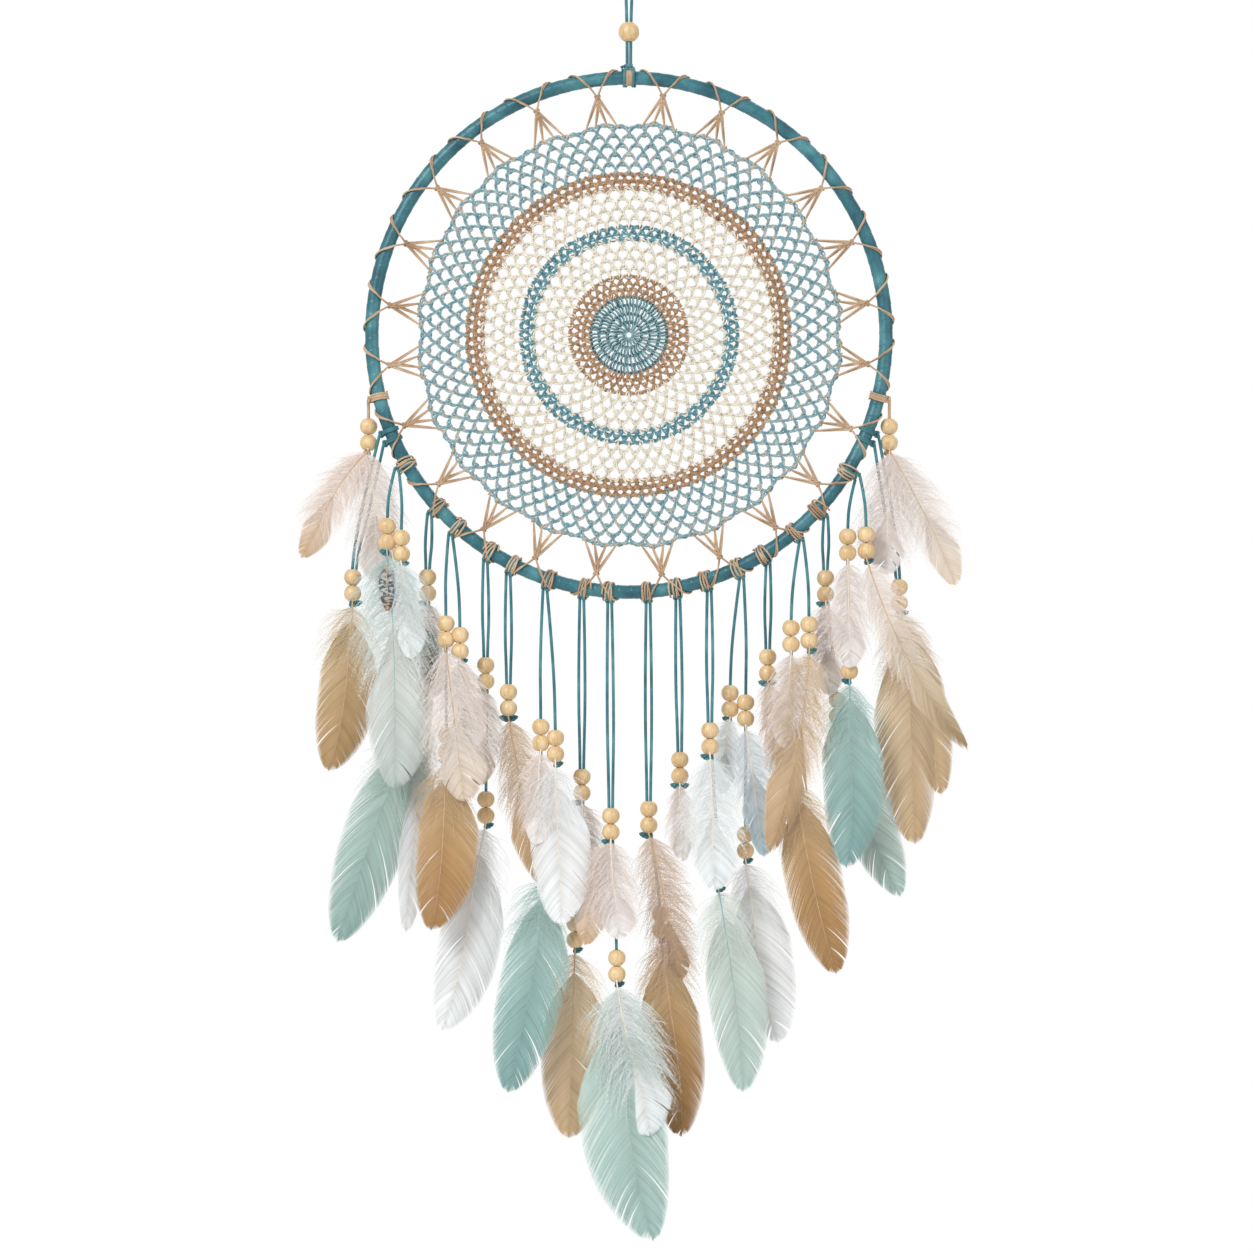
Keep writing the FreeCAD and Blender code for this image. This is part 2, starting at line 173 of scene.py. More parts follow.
def smooth(points, steps):
    """A Catmull-Rom curve through given points."""
    points = array(points)
    padded = np.concatenate([2 * points[:1] - points[1:2], points, 2 * points[-1:] - points[-2:-1]])
    t = (np.arange(steps) / steps)[:, None]
    out = []
    for a, b, c, d in zip(padded, padded[1:], padded[2:], padded[3:]):
        out.append(0.5 * (2 * b + (c - a) * t + (2 * a - 5 * b + 4 * c - d) * t ** 2
                          + (3 * b - a - 3 * c + d) * t ** 3))
    return np.concatenate([*out, points[-1:]])


def polar(radius, angle, y=0.0):
    """Points about the hoop's centre, the angle in radians from the top towards +X."""
    radius, angle, y = np.broadcast_arrays(radius, angle, y)
    return np.stack([radius * np.sin(angle), y, HOOP_Z + radius * np.cos(angle)], -1)


def round_hoop(angle, rho, phi):
    """Points on a sleeve round the hoop's tube: phi 0 is inside, 90 degrees in front, 180 outside."""
    return polar(HOOP_RADIUS - rho * np.cos(phi), angle, -rho * np.sin(phi))


def hoop_tangent(angle):
    angle = np.asarray(angle, float)
    return np.stack([np.cos(angle), 0 * angle, -np.sin(angle)], -1)


# ---------------------------------------------------------------- materials
def linear(colour):
    """Linear RGBA from an sRGB colour of 0 to 255."""
    c = np.array(colour, float) / 255
    c = np.where(c <= 0.04045, c / 12.92, ((c + 0.055) / 1.055) ** 2.4)
    return (*c, 1.0)


class Shade:
    """A Principled material with a few node helpers."""

    def __init__(self, name, **values):
        self.material = bpy.data.materials.new(name)
        self.material.use_nodes = True
        self.nodes = self.material.node_tree.nodes
        self.links = self.material.node_tree.links
        self.bsdf = self.nodes["Principled BSDF"]
        for socket, value in values.items():
            self.bsdf.inputs[socket.replace("_", " ")].default_value = value
        self.coords = self.nodes.new("ShaderNodeTexCoord").outputs["Object"]

    def link(self, output, node, socket):
        self.links.new(output, node.inputs[socket])

    def noise(self, scale, stretch=(1, 1, 1), detail=3.0):
        mapping = self.nodes.new("ShaderNodeMapping")
        mapping.inputs["Scale"].default_value = stretch
        self.link(self.coords, mapping, "Vector")
        noise = self.nodes.new("ShaderNodeTexNoise")
        noise.inputs["Scale"].default_value = scale
        noise.inputs["Detail"].default_value = detail
        self.link(mapping.outputs[0], noise, "Vector")
        return noise.outputs["Fac"]

    def ramp(self, fac, stops):
        node = self.nodes.new("ShaderNodeValToRGB")
        elements = node.color_ramp.elements
        while len(elements) < len(stops):
            elements.new(0.5)
        for element, (position, colour) in zip(elements, stops):
            element.position = position
            element.color = linear(colour)
        self.link(fac, node, "Fac")
        return node.outputs["Color"]

    def multiply(self, one, two, fac=1.0):
        node = self.nodes.new("ShaderNodeMix")
        node.data_type = "RGBA"
        node.blend_type = "MULTIPLY"
        node.inputs["Factor"].default_value = fac
        self.links.new(one, node.inputs[6])
        self.links.new(two, node.inputs[7])
        return node.outputs[2]

    def colour(self, output):
        self.link(output, self.bsdf, "Base Color")
        return self

    def bump(self, height, strength, distance):
        node = self.nodes.new("ShaderNodeBump")
        node.inputs["Strength"].default_value = strength
        node.inputs["Distance"].default_value = distance
        self.link(height, node, "Height")
        self.link(node.outputs[0], self.bsdf, "Normal")
        return self


def yarn_material(name, dark, mid, light, patch=90.0, roughness=0.75, sheen=0.25):
    """Dyed cotton: patches of shade, with fine fibres in its bump."""
    shade = Shade(name, Roughness=roughness, Sheen_Weight=sheen, Sheen_Roughness=0.5)
    patches = shade.ramp(shade.noise(patch, detail=4), [(0.3, dark), (0.5, mid), (0.7, light)])
    fibres = shade.ramp(shade.noise(2600), [(0.3, (205, 205, 205)), (0.7, (255, 255, 255))])
    shade.colour(shade.multiply(patches, fibres))
    return shade.bump(shade.noise(3200), 0.4, 0.0002).material


def wood_material():
    shade = Shade("bead_wood", Roughness=0.42, Coat_Weight=0.15, Coat_Roughness=0.3)
    grain = shade.ramp(shade.noise(260, (1, 1, 0.18), 5),
                       [(0.3, (203, 169, 122)), (0.5, (221, 190, 143)), (0.72, (233, 208, 167))])
    flecks = shade.ramp(shade.noise(1500, (1, 1, 0.08), 2),
                        [(0.35, (232, 226, 214)), (0.55, (255, 255, 255))])
    shade.colour(shade.multiply(grain, flecks, 0.8))
    return shade.bump(shade.noise(900, (1, 1, 0.15)), 0.15, 0.0002).material


def steel_material():
    shade = Shade("ring_steel", Metallic=1.0, Roughness=0.35)
    shade.colour(shade.ramp(shade.noise(120), [(0.3, (168, 170, 172)), (0.7, (204, 206, 208))]))
    return shade.bump(shade.noise(1400), 0.1, 0.0001).material


def feather_material(kind, stops, speckled=False):
    """Colour runs along the feather, and each barb has its own shade of it."""
    shade = Shade("feather_" + kind, Roughness=0.6, Sheen_Weight=0.2, Sheen_Roughness=0.45)
    attribute = shade.nodes.new("ShaderNodeAttribute")
    attribute.attribute_name = "barb"
    split = shade.nodes.new("ShaderNodeSeparateColor")
    shade.link(attribute.outputs["Color"], split, "Color")
    along = shade.ramp(split.outputs[0], stops)
    own = shade.ramp(split.outputs[2],
                     [(0.0, (220, 218, 215)), (0.35, (244, 243, 242)), (0.8, (255, 255, 255))])
    edge = shade.ramp(split.outputs[1],
                      [(0.0, (236, 234, 232)), (0.35, (252, 252, 252)), (1.0, (255, 255, 255))])
    colour = shade.multiply(shade.multiply(along, own), edge)
    if speckled:
        spots = shade.ramp(shade.noise(420, (1, 1, 1.8), 2), [(0.44, (86, 92, 90)), (0.57, (255, 255, 255))])
        colour = shade.multiply(colour, spots, 0.9)
    shade.colour(colour)
    return shade.bump(shade.noise(1800), 0.2, 0.0001).material


TEAL_CORD = yarn_material("cord_teal", (38, 104, 116), (56, 128, 138), (84, 152, 158))
TAN_CORD = yarn_material("cord_tan", (176, 140, 106), (204, 170, 134), (224, 196, 162))
TEAL_LACE = yarn_material("lace_teal", (26, 86, 100), (50, 117, 129), (90, 155, 163), 60, 0.36, 0.0)
TEAL_YARN = yarn_material("yarn_teal", (62, 122, 138), (100, 156, 168), (164, 200, 204), 500)
TAN_YARN = yarn_material("yarn_tan", (150, 108, 74), (186, 146, 108), (214, 182, 146), 500)
HUB_YARN = yarn_material("yarn_hub", (88, 138, 148), (136, 178, 182), (186, 210, 208), 700)
# a darker copy of the hub's teal yarn: painted shade for the gaps between the hub's stitches
HUB_PAINTED_SHADE = yarn_material("yarn_hub_painted_shade", (26, 80, 96), (48, 108, 124), (92, 148, 158), 600)
CREAM_YARN = yarn_material("yarn_cream", (230, 217, 195), (245, 237, 220), (252, 248, 238), 500)
MIX_YARN = yarn_material("yarn_mixed", (98, 152, 163), (146, 183, 190), (216, 198, 178), 260)
WOOD = wood_material()
STEEL = steel_material()


def quill_material(name, dark, light):
    shade = Shade(name, Roughness=0.4)
    return shade.colour(shade.ramp(shade.noise(300), [(0.3, dark), (0.7, light)])).material


QUILLS = {"feather_white": quill_material("quill", (222, 208, 186), (240, 231, 216)),
          "feather_aqua": quill_material("quill_aqua", (118, 164, 167), (146, 188, 189)),
          "feather_tan": quill_material("quill_tan", (184, 150, 110), (210, 180, 140))}

# Each kind of feather: its colours along its length, how much of it is down, and how
# pointed its tip is (a smaller number is more pointed).
PINK_WHITE = (238, 229, 224)
KINDS = {
    "fluff": ([(0.0, (232, 220, 213)), (0.5, PINK_WHITE), (1.0, (236, 232, 230))], 0.66, 2.8),
    "cream": ([(0.0, (236, 226, 219)), (0.55, (236, 226, 216)), (1.0, (224, 206, 184))], 0.62, 2.8),
    "tan_tip": ([(0.0, (234, 218, 207)), (0.5, (234, 219, 205)), (1.0, (204, 172, 132))], 0.6, 2.6),
    "white": ([(0.0, (238, 240, 240)), (0.6, (240, 242, 243)), (1.0, (244, 247, 248))], 0.2, 3.0),
    "downy": ([(0.0, (232, 238, 239)), (0.5, (240, 244, 244)), (1.0, (226, 234, 236))], 0.6, 2.8),
    "pale_blue": ([(0.0, (226, 232, 236)), (0.5, (216, 228, 234)), (1.0, (188, 212, 222))], 0.45, 2.4),
    "pale_aqua": ([(0.0, (188, 210, 206)), (0.3, (226, 228, 225)), (1.0, (192, 204, 200))], 0.42, 3.0),
    "aqua": ([(0.0, (199, 216, 209)), (0.5, (177, 204, 197)), (1.0, (159, 191, 185))], 0.2, 2.6),
    "teal_aqua": ([(0.0, (179, 205, 199)), (0.5, (151, 186, 181)), (1.0, (131, 170, 168))], 0.14, 2.6),
    "light_aqua": ([(0.0, (219, 227, 221)), (0.5, (197, 214, 207)), (1.0, (175, 199, 192))], 0.2, 2.6),
    "tan": ([(0.0, (216, 194, 159)), (0.5, (198, 168, 123)), (1.0, (184, 150, 103))], 0.16, 2.8),
    "light_tan": ([(0.0, (230, 212, 184)), (0.5, (218, 194, 160)), (1.0, (204, 176, 136))], 0.18, 2.8),
    "brown": ([(0.0, (206, 180, 141)), (0.5, (188, 148, 97)), (1.0, (164, 124, 75))], 0.14, 2.8),
    "tan_fluffy": ([(0.0, (222, 200, 172)), (0.5, (212, 184, 148)), (1.0, (190, 156, 112))], 0.5, 2.0),
    "brown_fluffy": ([(0.0, (220, 200, 182)), (0.5, (202, 172, 144)), (1.0, (182, 150, 118))], 0.8, 2.0),
    "pink_quill": ([(0.0, (244, 234, 228)), (0.6, (222, 204, 176)), (1.0, (158, 130, 80))], 0.5, 1.5),
    "speckled": ([(0.0, (206, 214, 214)), (0.5, (190, 200, 200)), (1.0, (196, 150, 108))], 0.1, 2.2),
}
FEATHERS = {
    1: ["fluff", "tan_tip", "tan"], 2: ["pale_aqua", "downy"], 3: ["fluff", "white", "aqua"],
    4: ["fluff", "cream", "brown"], 5: ["cream", "white"], 6: ["tan_fluffy"],
    7: ["fluff", "white", "teal_aqua"], 8: ["fluff", "light_tan"],
    9: ["tan_tip", "fluff", "aqua", "downy"], 10: ["brown_fluffy", "brown"], 11: ["fluff"],
    12: ["downy", "light_aqua"], 13: ["downy", "pale_blue", "white"], 14: ["brown_fluffy"],
    15: ["fluff", "tan_fluffy", "brown"], 16: ["fluff", "light_aqua"],
    17: ["fluff", "pink_quill", "teal_aqua"], 18: ["fluff", "cream", "light_tan", "light_tan"],
}
KIND_SLOT = {"white": "feather_white", "downy": "feather_white", "fluff": "feather_white",
             "pale_blue": "feather_white", "pale_aqua": "feather_aqua", "aqua": "feather_aqua",
             "teal_aqua": "feather_aqua", "light_aqua": "feather_aqua"}
FEATHER_MATERIALS = {kind: feather_material(kind, stops, kind == "speckled")
                     for kind, (stops, _, _) in KINDS.items()}


# ---------------------------------------------------------------- placing pieces
def show(soup, name, materials, body, slot, *replaced):
    obj = soup.object(name, materials)
    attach(obj, body)
    if replaced:
        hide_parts(*replaced)
    return obj


def loose_parts(node):
    """The node's separate solids, each as its vertices in millimetres."""
    work = bmesh.new()
    work.from_mesh(frame["nodes"][node].data)
    bmesh.ops.remove_doubles(work, verts=work.verts, dist=1e-6)
    unseen = set(work.verts)
    parts = []
    while unseen:
        stack = [unseen.pop()]
        part = []
        while stack:
            vert = stack.pop()
            part.append(vert.co[:])
            for edge in vert.link_edges:
                other = edge.other_vert(vert)
                if other in unseen:
                    unseen.remove(other)
                    stack.append(other)
        parts.append(np.array(part) / MM)
    work.free()
    return parts


def nurbs_cord(name, points, material):
    """A hanging cord as a curve through the route's own points, in millimetres."""
    curve = bpy.data.curves.new(name, "CURVE")
    curve.dimensions = "3D"
    curve.resolution_u = 10
    # the depth times each point's radius is the cord's: a curve's box is padded by those radii
    curve.bevel_depth = 1.0
    curve.bevel_resolution = 3
    curve.use_fill_caps = True
    spline = curve.splines.new("NURBS")
    spline.points.add(len(points) - 1)
    for point, place in zip(spline.points, points):
        point.co = (*(np.asarray(place) * MM), 1.0)
        point.radius = CORD_RADIUS * MM
    spline.order_u = 3
    spline.use_endpoint_u = True
    curve.materials.append(material)
    obj = bpy.data.objects.new(name, curve)
    scene.collection.objects.link(obj)
    return obj


def cord_length(obj):
    """The length of the cord's own line, in metres."""
    depth = obj.data.bevel_depth
    obj.data.bevel_depth = 0
    obj.data.use_fill_caps = False
    bpy.context.view_layer.update()
    line = bpy.data.meshes.new_from_object(obj)
    points = array([v.co for v in line.vertices])
    bpy.data.meshes.remove(line)
    obj.data.bevel_depth = depth
    obj.data.use_fill_caps = True
    return float(np.linalg.norm(np.diff(points, axis=0), axis=1).sum())


# ---------------------------------------------------------------- hoop
def wound_hoop():
    """Flat lace wound round the ring: fine threads, with a step at each turn's edge."""
    rows, sides = 3000, 20
    angle = np.arange(rows) * TAU / rows
    phi = np.arange(sides) * TAU / sides
    run = angle[:, None] * HOOP_RADIUS
    slant = phi[None, :] / TAU
    length = TAU * HOOP_RADIUS
    turn = (run / (length / LACE_TURNS) + slant) % 1.0
    thread = np.cos(TAU * (run / (length / (LACE_TURNS * LACE_THREADS)) + slant * LACE_THREADS))
    wobble = 0.06 * np.sin(9 * angle[:, None] + 2 * phi[None, :]) * np.sin(23 * angle[:, None])
    rho = 3.82 + 0.2 * turn + 0.06 * thread + wobble
    verts = round_hoop(np.broadcast_to(angle[:, None], rho.shape), rho,
                       np.broadcast_to(phi[None, :], rho.shape)).reshape(-1, 3)
    soup = Soup()
    soup.add(verts, grid_faces(rows, sides, True))
    show(soup, "hoop_lace", [TEAL_LACE], "hoop", "teal_wrap", "hoop_wrap")
    frame["nodes"]["hoop_ring"].data.materials.clear()
    frame["nodes"]["hoop_ring"].data.materials.append(STEEL)


def winding(soup, angle, turns, spread, thread, lift=0.0, start=0.0, slant=0.0):
    """Turns of cord round the hoop's tube at one place, spread along it in millimetres."""
    t = np.linspace(0, 1, int(22 * turns) + 1)
    phi = start + TAU * turns * t
    along = spread * (t - 0.5) + slant * np.sin(phi)
    place = angle + along / HOOP_RADIUS
    tube(soup, round_hoop(place, WRAP_RADIUS + thread * 0.8 + lift, phi), thread, 6,
         hoop_tangent(place))


def knot_points(centre, across, tall, deep, lean=0.0):
    """An overhand knot's line, about its centre."""
    t = np.arange(60) * TAU / 60
    x = (np.sin(t) + 2 * np.sin(2 * t)) / 3
    z = (np.cos(t) - 2 * np.cos(2 * t)) / 3
    y = -np.sin(3 * t)
    points = np.stack([x * across, y * deep, z * tall], -1)
    turn = np.array([[math.cos(lean), 0, math.sin(lean)], [0, 1, 0], [-math.sin(lean), 0, math.cos(lean)]])
    return points @ turn.T + np.asarray(centre)


def closed_knot(soup, centre, across, tall, deep, cord, lean=0.0, slot=0):
    points = knot_points(centre, across, tall, deep, lean)
    tube(soup, points, cord, 8, (0.1, 1, 0.05), closed=True, slot=slot)


# ---------------------------------------------------------------- web
def rim_pull(points):
    """The fans pull the web's rim out, and it sags inward between them."""
    flat = points - np.array([0, 0, HOOP_Z])
    radius = np.hypot(flat[:, 0], flat[:, 2])
    angle = np.arctan2(flat[:, 0], flat[:, 2])
    share = np.clip((radius - 96) / 25, 0, 1) ** 2
    pull = 1 + share * (0.009 * -np.cos(FANS * angle) - 0.005) + 0.004 * np.sin(5 * angle + radius * 0.1)
    scale = np.where(radius > 24, pull, 1)[:, None]
    out = flat * scale
    out[:, 1] = flat[:, 1]
    return out + np.array([0, 0, HOOP_Z])


def net(soup, inner, outer, rounds, cells, yarn, rng, jitter=0.5, steps=15):
    """Rounds of chain loops, each caught on the tops of the round before."""
    height = (outer - inner) / rounds
    for k in range(rounds):
        offsets = rng.normal(0, jitter, (cells + 1, 2))
        offsets[-1] = offsets[0]
        u = np.arange(cells * steps) / steps
        cell = np.floor(u).astype(int)
        part = u - cell
        angle = (u + 0.5 * (k % 2)) * TAU / cells
        arch = np.abs(np.sin(math.pi * part)) ** 0.5
        middle = inner + (k + 0.5) * height
        sway = (offsets[cell, 0] * np.sin(math.pi * part) ** 2) * 0.6
        radius = inner + height * (k - 0.03 + 1.06 * arch) + sway
        angle = angle + offsets[cell, 1] * 0.5 * np.sin(TAU * part) / middle
        depth = yarn * (0.9 * np.cos(TAU * part) * (1 if k % 2 else -1))
        parted = yarn * (0.75 + 0.22 * np.sin(TAU * part * 2 + offsets[cell, 0]))
        for side in (-1, 1):
            points = polar(radius + side * parted, angle, depth + side * yarn * 0.5 * np.cos(TAU * part * 2))
            tube(soup, rim_pull(points), yarn * 0.62, 6, closed=True, lobes=0.25)
        # the small loop that catches each arch on the round before
        for j in range(cells):
            a = (j + 0.5 * (k % 2)) * TAU / cells
            t = np.arange(9) * TAU / 9
            bump = polar(inner + height * k + yarn * 1.5 * np.cos(t), a + yarn * 1.9 * np.sin(t) / middle,
                         yarn * 0.8 * np.cos(t + j))
            tube(soup, rim_pull(bump), yarn * 0.55, 5, closed=True)


def chain_round(soup, radius, stitches, yarn, slot=0, wave=0.5):
    """A ring of chain stitch, laid as two waves that cross."""
    t = np.arange(stitches * 8) * TAU / (stitches * 8)
    for side in (-1, 1):
        points = polar(radius + side * wave * np.sin(stitches * t / 2), t,
                       side * yarn * 0.8 * np.cos(stitches * t / 2))
        tube(soup, rim_pull(points), yarn, 6, closed=True, slot=slot)


def posts(soup, inner, outer, count, yarn, rng, slot=0, lift=0.0):
    """Radial stitches between two rounds."""
    for j in range(count):
        a = (j + rng.uniform(-0.2, 0.2)) * TAU / count
        lean = 0.35 * TAU / count
        points = [polar(inner, a, 0.5 + lift), polar((inner + outer) / 2, a + lean, lift - 0.7),
                  polar(outer, a, 0.4 + lift)]
        tube(soup, smooth(points, 3), yarn, 6, slot=slot)


def crochet_web():
    rng = np.random.RandomState(7)
    hub = Soup()
    for inner, outer, count in ((2.2, 7.4, 20), (6.6, 12.2, 34), (11.4, 17.2, 48), (16.4, 21.8, 60)):
        # slot 1, the darker copy, goes on the thicker posts behind and on the chain rounds: painted shade
        # between the front stitches
        posts(hub, inner, outer, count, 0.62, rng, slot=1)
        posts(hub, inner + 0.6, outer + 0.4, count, 0.42, rng, lift=-0.7)
        chain_round(hub, outer, count, 0.45, slot=1)
    chain_round(hub, 2.4, 12, 0.5)
    show(hub, "web_hub", [HUB_YARN, HUB_PAINTED_SHADE], "hoop", "web_yarn", "web")

    tan = Soup()
    net(tan, 22.6, 33.6, 3, 40, 0.72, rng, jitter=0.3, steps=12)
    posts(tan, 22.0, 27.0, 40, 0.5, rng)
    chain_round(tan, 33.6, 60, 0.5)
    show(tan, "web_inner_tan", [TAN_YARN], "hoop", "tan_cord")

    cream = Soup()
    net(cream, 33.8, 55.4, 4, 40, 0.9, rng, jitter=0.4)
    show(cream, "web_inner_cream", [CREAM_YARN], "hoop", "web_yarn")

    teal = Soup()
    net(teal, 55.4, 62.0, 2, 76, 0.8, rng, jitter=0.3, steps=10)
    chain_round(teal, 55.6, 96, 0.5)
    chain_round(teal, 61.8, 96, 0.5)
    show(teal, "web_teal_ring", [TEAL_YARN], "hoop", "web_yarn")

    cream = Soup()
    net(cream, 62.0, 84.0, 4, 62, 0.9, rng, jitter=0.4)
    show(cream, "web_outer_cream", [CREAM_YARN], "hoop", "web_yarn")

    tan = Soup()
    net(tan, 84.0, 92.2, 2, 116, 0.85, rng, jitter=0.3, steps=10)
    chain_round(tan, 84.2, 150, 0.5)
    chain_round(tan, 88.2, 150, 0.4)
    chain_round(tan, 92.0, 150, 0.5)
    show(tan, "web_outer_tan", [TAN_YARN], "hoop", "tan_cord")

    for name, inner, outer, rounds in (("web_net_a", 92.4, 103.8, 2), ("web_net_b", 103.8, 120.8, 3)):
        outer_net = Soup()
        net(outer_net, inner, outer, rounds, 80, 0.86, rng, jitter=0.5)
        if outer > 120:
            chain_round(outer_net, 120.4, 190, 0.5, wave=0.7)
        show(outer_net, name, [MIX_YARN], "hoop", "web_yarn")


def doubled(soup, points, thread, gap, ref=(0, 1, 0)):
    """Two threads side by side along the points, twisting a little."""
    points = array(points)
    ref = np.broadcast_to(np.asarray(ref, float), points.shape)
    tangent = unit(np.gradient(points, axis=0))
    side = unit(np.cross(tangent, ref))
    up = np.cross(side, tangent)
    turn = np.linspace(0, 1.6, len(points))[:, None]
    for sign in (-1, 1):
        shift = sign * gap * (side * np.cos(turn) + up * np.sin(turn))
        tube(soup, points + shift, thread, 6, ref)


def lacing():
    """The tan cord between the web's rim and the hoop."""
    rng = np.random.RandomState(11)
    soup = Soup()
    step = TAU / FANS
    for i in range(FANS):
        middle = (i + 0.5) * step + rng.normal(0, 0.006)
        radius = KNOT_RADIUS + rng.normal(0, 0.6)
        knot = polar(radius, middle)
        low = polar(radius - 4.5, middle)
        for share in (-1.0, -0.36, 0.36, 1.0):
            rim = rim_pull(array(polar(RIM_RADIUS - 0.4, middle + share * FAN_HALF * 1.06, 0.4)))[0]
            start = knot if abs(share) > 0.9 else low
            bend = (start + rim) / 2 + np.array([0, rng.normal(0, 0.3), 0])
            doubled(soup, smooth([start, bend, rim], 6), 0.5, 0.54)
            loop = np.arange(10) * TAU / 10
            ring = rim[None, :] + np.stack([1.3 * np.sin(loop), 1.0 * np.cos(loop), 0.9 * np.sin(loop)], -1)
            tube(soup, ring, 0.46, 5, (0.3, 0.2, 1), closed=True)
        doubled(soup, smooth([knot, (knot + low) / 2 + np.array([0.2, 0, 0]), low], 4), 0.46, 0.46)
        closed_knot(soup, low, 1.2, 1.2, 0.6, 0.45, lean=middle)
        closed_knot(soup, knot, 1.6, 1.6, 0.8, 0.52, lean=middle)
        for side in (-1, 1):
            reach = (14.5 if side < 0 else 12.5) + rng.normal(0, 0.7)
            phi = np.radians([42, 75, 110, 145, 180, 212, 238])
            share = np.array([0.30, 0.45, 0.60, 0.76, 0.92, 1.02, 1.06])
            place = middle + side * reach * share / HOOP_RADIUS
            sleeve = round_hoop(place, WRAP_RADIUS + 0.62, phi)
            path = smooth(np.concatenate([[knot], [(knot + sleeve[0]) / 2], sleeve]), 6)
            doubled(soup, path, 0.48, 0.48, hoop_tangent(middle + side * 0.05) + np.array([0, 0.2, 0]))
    show(soup, "web_lacing_cord", [TAN_CORD], "hoop", "tan_cord", "web_lacing")


# ---------------------------------------------------------------- hanging cord
def hanging_cord():
    foot = HOOP_Z + HOOP_RADIUS + WRAP_RADIUS + 0.4
    left = [(-TOP_OFFSET, 0, foot), (-TOP_OFFSET, 0, -34.0), (-5.12, 0, -9.9), (-4.9, 0, CORD_RADIUS)]
    route = left + [(-x, y, z) for x, y, z in reversed(left)]
    cord = nurbs_cord("hanging_cord", route, TEAL_CORD)
    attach(cord, "hanging_cord")
    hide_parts("hanging_loop")
    round(cord_length(cord), 4)
    frame["nodes"]["hanging_bead"].data.materials.clear()
    frame["nodes"]["hanging_bead"].data.materials.append(WOOD)

    top = Soup()
    for place in (-2.6, 2.6):
        winding(top, place / HOOP_RADIUS, 1.5, 1.8, 0.8, lift=0.2, start=math.pi)
    closed_knot(top, (0, -0.6, foot + 1.1), 2.9, 1.5, 1.4, 0.85, lean=0.3)
    closed_knot(top, (0, 0.2, foot + 1.9), 2.2, 0.9, 1.2, 0.7, lean=-0.5)
    tube(top, smooth([(-1.2, 0.6, foot + 1), (-3.0, 0.8, foot + 2.2), (-4.6, 0.4, foot + 1.6)], 5), 0.75, 8)
    show(top, "top_knot", [TEAL_CORD], "hoop", "teal_cord")
    band = Soup()
    winding(band, 0.0, 6, 4.6, 0.42, lift=0.1, start=0.4)
    show(band, "top_band", [TAN_CORD], "hoop", "tan_cord")


# ---------------------------------------------------------------- strands
def angle_of(place):
    return math.atan2(place[0], place[2] - HOOP_Z)


def hoop_ties(exits, starts):
    """Where each strand is tied on: a collar of its own cord, and turns of tan thread over it."""
    rng = np.random.RandomState(3)
    collars, threads = Soup(), Soup()
    for number, place in exits.items():
        angle = angle_of(place)
        if number in RIM_STRANDS:
            for index, start in enumerate(starts[number]):
                soup = collars if index else threads
                spot = angle_of(start)
                inward = polar(EXIT_RADIUS, spot) - polar(EXIT_RADIUS - 1.4, spot)
                winding(soup, spot, 2, 2.2, 0.7, start=math.pi)
                closed_knot(soup, start - inward, 1.7, 1.7, 1.4, 0.7, lean=spot)
            winding(threads, angle, 3, 4.5, 0.55, lift=0.5, slant=0.8)
            continue
        winding(collars, angle, 2, 3.4, 0.75, start=math.pi, slant=0.3)
        inward = (polar(EXIT_RADIUS, angle) - polar(EXIT_RADIUS - 1.4, angle))
        closed_knot(collars, place - inward, 2.3, 1.5, 1.7, 0.8, lean=angle)
        winding(threads, angle + rng.normal(0, 0.004), rng.uniform(2.6, 3.6), rng.uniform(4.5, 6.5), 0.55,
                lift=0.6, start=rng.uniform(0, TAU), slant=rng.uniform(0.8, 1.8))
        winding(threads, angle + rng.normal(0, 0.006), 1.5, rng.uniform(-6, -4), 0.55,
                lift=1.1, start=rng.uniform(0, TAU), slant=-1.2)
    show(collars, "cord_collars", [TEAL_CORD], "hoop", "teal_cord")
    show(threads, "thread_ties", [TAN_CORD], "hoop", "tan_cord")


def tassels_of(node, exit_point):
    """The strand's upper tassels, left to right, and its lower one if it has one."""
    beads = [(part.max(0) + part.min(0)) / 2 for part in loose_parts(node)]
    tops = [a for a in beads
            if any(np.linalg.norm(a - b - (0, 0, BEAD_PITCH)) < 0.6 for b in beads)]
    highest = max(top[2] for top in tops)
    upper = sorted((top - exit_point for top in tops if top[2] > highest - LOWER_DROP), key=lambda p: p[0])
    lower = [top - exit_point for top in tops if top[2] <= highest - LOWER_DROP]
    return upper, (lower[0] if lower else None)


